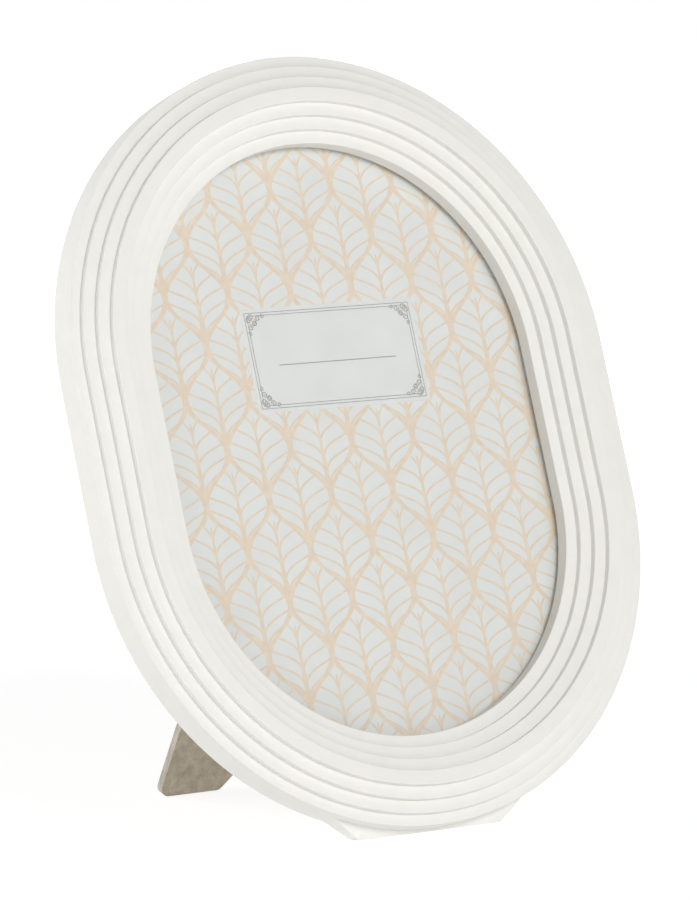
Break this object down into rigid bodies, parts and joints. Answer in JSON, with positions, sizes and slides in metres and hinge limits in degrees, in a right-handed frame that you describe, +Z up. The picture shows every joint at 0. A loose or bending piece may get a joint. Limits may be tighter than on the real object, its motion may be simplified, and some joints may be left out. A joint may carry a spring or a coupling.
{
  "type": "oval picture frame",
  "caption": "Free-standing oval picture frame with a stepped off-white ring, glazed print, panel held by turn buttons and a folding strut leg.",
  "frame": {"origin": "middle of the flat under the wedge foot, on the surface that the frame stands on", "axes": "+Z up, the picture faces -Y and leans back towards +Y, +X to the viewer's right"},
  "size_m": [0.1968, 0.1041, 0.2345],
  "materials": {
    "ring_paint": "off-white satin paint on cast resin",
    "glass": "clear float glass",
    "print_paper": "printed paper, pale grey with a tan line pattern",
    "hardboard": "raw brown hardboard",
    "flock": "grey-taupe flocked paper",
    "hinge_steel": "zinc-plated sheet steel",
    "button_steel": "zinc-plated sheet steel",
    "screw_steel": "zinc-plated steel",
    "rivet_steel": "nickel-plated steel"
  },
  "bodies": {
    "frame": {"frame_moulding": "ring_paint", "glass_pane": "glass", "photo_insert": "print_paper", "backing_board": "hardboard", "backing_cover": "flock", "hinge_panel_leaf": "hinge_steel", "hinge_pin": "hinge_steel", "panel_rivet_1": "rivet_steel", "panel_rivet_2": "rivet_steel", "button_screw_1": "screw_steel", "button_screw_2": "screw_steel", "button_screw_3": "screw_steel", "button_screw_4": "screw_steel", "button_screw_5": "screw_steel", "button_screw_6": "screw_steel"},
    "leg": {"leg_board": "hardboard", "leg_cover_front": "flock", "leg_cover_back": "flock", "hinge_leg_leaf": "hinge_steel", "leg_rivet_1": "rivet_steel", "leg_rivet_2": "rivet_steel"},
    "button_1": {"turn_button_1": "button_steel"},
    "button_2": {"turn_button_2": "button_steel"},
    "button_3": {"turn_button_3": "button_steel"},
    "button_4": {"turn_button_4": "button_steel"},
    "button_5": {"turn_button_5": "button_steel"},
    "button_6": {"turn_button_6": "button_steel"}
  },
  "joints": [
    {"name": "leg_fold", "type": "hinge", "parent": "frame", "child": "leg", "pos_m": [0, 0.05602, 0.13806], "axis": [-1, 0, 0], "range_deg": [0, 36]},
    {"name": "button_1_turn", "type": "hinge", "parent": "frame", "child": "button_1", "pos_m": [0.083, 0.04522, 0.11542], "axis": [0, -0.9354, 0.3535], "range_deg": [-100, 100]},
    {"name": "button_2_turn", "type": "hinge", "parent": "frame", "child": "button_2", "pos_m": [0.05869, 0.07487, 0.1939], "axis": [0, -0.9354, 0.3535], "range_deg": [-100, 100]},
    {"name": "button_3_turn", "type": "hinge", "parent": "frame", "child": "button_3", "pos_m": [-0.05869, 0.07487, 0.1939], "axis": [0, -0.9354, 0.3535], "range_deg": [-100, 100]},
    {"name": "button_4_turn", "type": "hinge", "parent": "frame", "child": "button_4", "pos_m": [-0.083, 0.04522, 0.11542], "axis": [0, -0.9354, 0.3535], "range_deg": [-100, 100]},
    {"name": "button_5_turn", "type": "hinge", "parent": "frame", "child": "button_5", "pos_m": [-0.05869, 0.01556, 0.03695], "axis": [0, -0.9354, 0.3535], "range_deg": [-100, 100]},
    {"name": "button_6_turn", "type": "hinge", "parent": "frame", "child": "button_6", "pos_m": [0.05869, 0.01556, 0.03695], "axis": [0, -0.9354, 0.3535], "range_deg": [-100, 100]}
  ]
}
